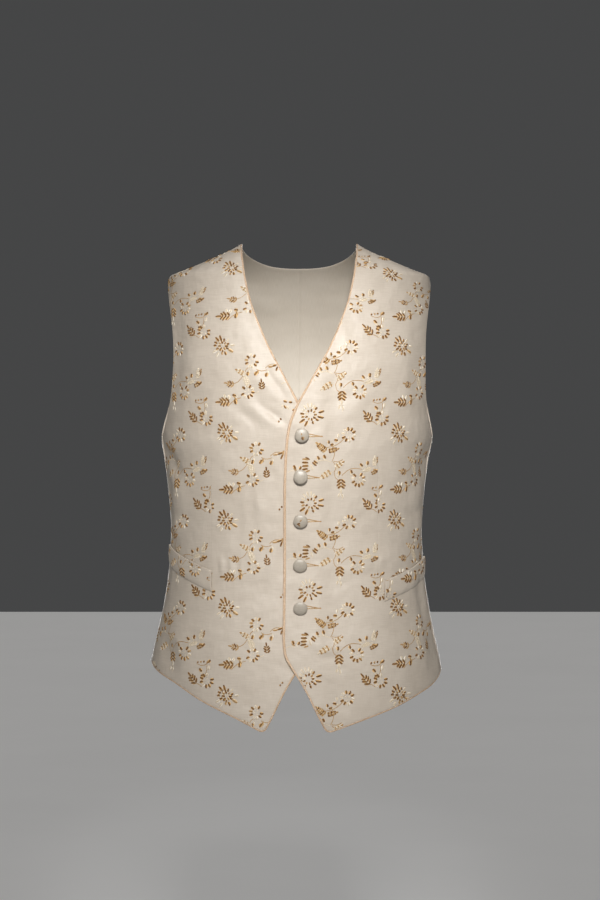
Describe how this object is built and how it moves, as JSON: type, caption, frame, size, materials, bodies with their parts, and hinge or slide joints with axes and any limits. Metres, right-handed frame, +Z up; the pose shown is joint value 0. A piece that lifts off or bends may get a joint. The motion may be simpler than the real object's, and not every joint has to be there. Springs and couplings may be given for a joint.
{
  "type": "waistcoat",
  "caption": "Single-breasted V-neck waistcoat of ivory silk embroidered with flowers and leaves, with covered buttons, welt pockets and satin piping, filled out as worn.",
  "frame": {"origin": "midway between the shoulders, at the height of the shoulder seams, where the wearer's shoulders hold the garment", "axes": "+Z up, towards the wearer's head, along the garment's length; -Y out of the front; +X towards the wearer's left"},
  "size_m": [0.4013, 0.2588, 0.6601],
  "materials": {
    "embroidered_silk": "ivory slubbed silk embroidered in gold, brown and cream",
    "back_satin": "plain ivory satin",
    "piping_satin": "peach-gold satin",
    "button_silk": "ivory silk, covering the button"
  },
  "bodies": {
    "root": {"front_left": "embroidered_silk", "front_right": "embroidered_silk", "back_left": "back_satin", "back_right": "back_satin", "piping_left": "piping_satin", "piping_right": "piping_satin", "welt_left": "embroidered_silk", "welt_right": "embroidered_silk", "button_1": "button_silk", "button_2": "button_silk", "button_3": "button_silk", "button_4": "button_silk", "button_5": "button_silk"}
  },
  "joints": []
}
